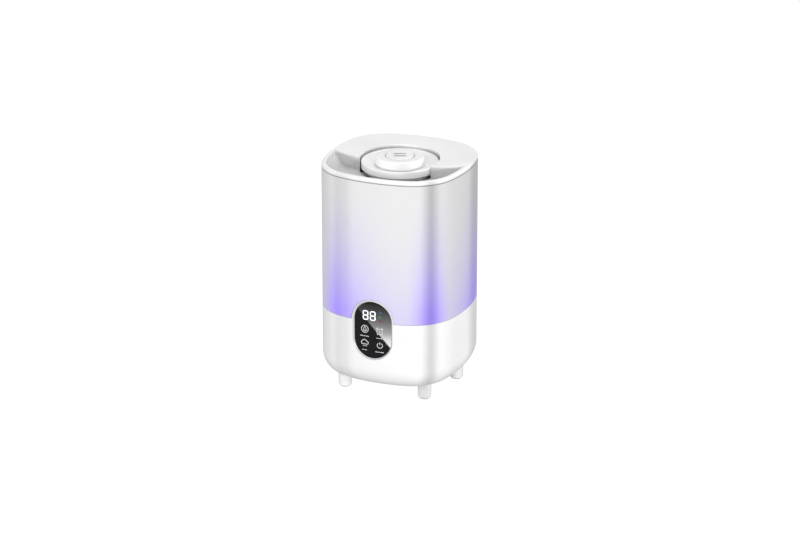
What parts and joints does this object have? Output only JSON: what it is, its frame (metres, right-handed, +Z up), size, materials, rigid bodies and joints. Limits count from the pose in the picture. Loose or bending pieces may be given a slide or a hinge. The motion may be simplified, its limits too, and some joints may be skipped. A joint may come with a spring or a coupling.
{
  "type": "cool mist humidifier",
  "caption": "Cool mist humidifier: frosted rounded-square tank on a footed base with a pill-shaped touch panel, a lid with a pouring bowl and a turning mist nozzle.",
  "frame": {"origin": "on the table, under the middle of the base", "axes": "+Z up along the nozzle's axis, +Y towards the power socket at the back, panel facing -Y"},
  "size_m": [0.17, 0.17, 0.2762],
  "materials": {
    "white_gloss": "glossy white",
    "frosted": "frosted translucent white",
    "white_satin": "satin white",
    "inner_white": "moulded white",
    "black_plastic": "moulded black",
    "panel_black": "glossy black",
    "bezel_grey": "bevelled light grey",
    "rubber_grey": "soft grey",
    "screw_steel": "plated",
    "spring_steel": "bright wire",
    "clamp_metal": "pressed sheet",
    "ceramic_disc": "silvered ceramic",
    "board_green": "circuit board",
    "sink_aluminium": "finned extrusion",
    "brass_pin": "bright",
    "magnet_grey": "ferrite",
    "diffuser": "milky diffuser",
    "led_yellow": "lamp chips"
  },
  "bodies": {
    "base": {"base_housing": "white_gloss", "bottom_cover": "white_satin", "cover_screws": "screw_steel", "foot_front_left": "white_gloss", "foot_front_right": "white_gloss", "foot_rear_left": "white_gloss", "foot_rear_right": "white_gloss", "foot_pad_front_left": "rubber_grey", "foot_pad_front_right": "rubber_grey", "foot_pad_rear_left": "rubber_grey", "foot_pad_rear_right": "rubber_grey", "foot_screws": "screw_steel", "water_tray": "inner_white", "air_chimney": "inner_white", "transducer_disc": "ceramic_disc", "transducer_seal": "rubber_grey", "transducer_clamp": "clamp_metal", "clamp_screws": "screw_steel", "led_board": "board_green", "light_ring": "diffuser", "led_chips": "led_yellow", "fan_case": "black_plastic", "air_duct": "inner_white", "main_board": "board_green", "board_screws": "screw_steel", "board_parts": "black_plastic", "heat_sink": "sink_aluminium", "power_socket": "black_plastic", "socket_pin": "brass_pin", "panel_glass": "panel_black", "panel_bezel": "bezel_grey", "display_board": "board_green", "digit_display": "white_satin", "touch_contacts": "spring_steel", "tongue_cover": "white_satin"},
    "float": {"float_body": "white_satin", "float_magnet": "magnet_grey", "float_seal": "rubber_grey"},
    "fan_rotor": {"fan_impeller": "black_plastic"},
    "tank": {"tank_shell": "frosted", "mist_tube": "frosted", "mist_spigot": "inner_white", "valve_body": "white_satin", "valve_gasket": "rubber_grey", "valve_spring": "spring_steel"},
    "valve": {"valve_plunger": "white_satin", "valve_seal": "rubber_grey"},
    "lid": {"lid": "white_satin"},
    "nozzle_base": {"nozzle_disc": "white_satin"},
    "nozzle_knob": {"nozzle_knob": "white_gloss", "nozzle_cap": "white_satin"}
  },
  "joints": [
    {"name": "tank_lift", "type": "slide", "parent": "base", "child": "tank", "axis": [0, 0, 1], "range_m": [0, 0.12]},
    {"name": "valve_drop", "type": "slide", "parent": "tank", "child": "valve", "axis": [0, 0, 1], "range_m": [-0.003, 0], "deforming": ["valve_spring"]},
    {"name": "lid_lift", "type": "slide", "parent": "tank", "child": "lid", "axis": [0, 0, 1], "range_m": [0, 0.08]},
    {"name": "nozzle_lift", "type": "slide", "parent": "lid", "child": "nozzle_base", "axis": [0, 0, 1], "range_m": [0, 0.06]},
    {"name": "nozzle_turn", "type": "hinge", "parent": "nozzle_base", "child": "nozzle_knob", "pos_m": [0, 0, 0.27], "axis": [0, 0, 1], "continuous": true},
    {"name": "float_rise", "type": "slide", "parent": "base", "child": "float", "axis": [0, 0, 1], "range_m": [0, 0.006]},
    {"name": "fan_spin", "type": "hinge", "parent": "base", "child": "fan_rotor", "pos_m": [-0.008, 0, 0.032], "axis": [0, 0, 1], "continuous": true}
  ],
  "couplings": [
    {"joint": "valve_drop", "follows": "tank_lift", "ratio": -0.025}
  ]
}
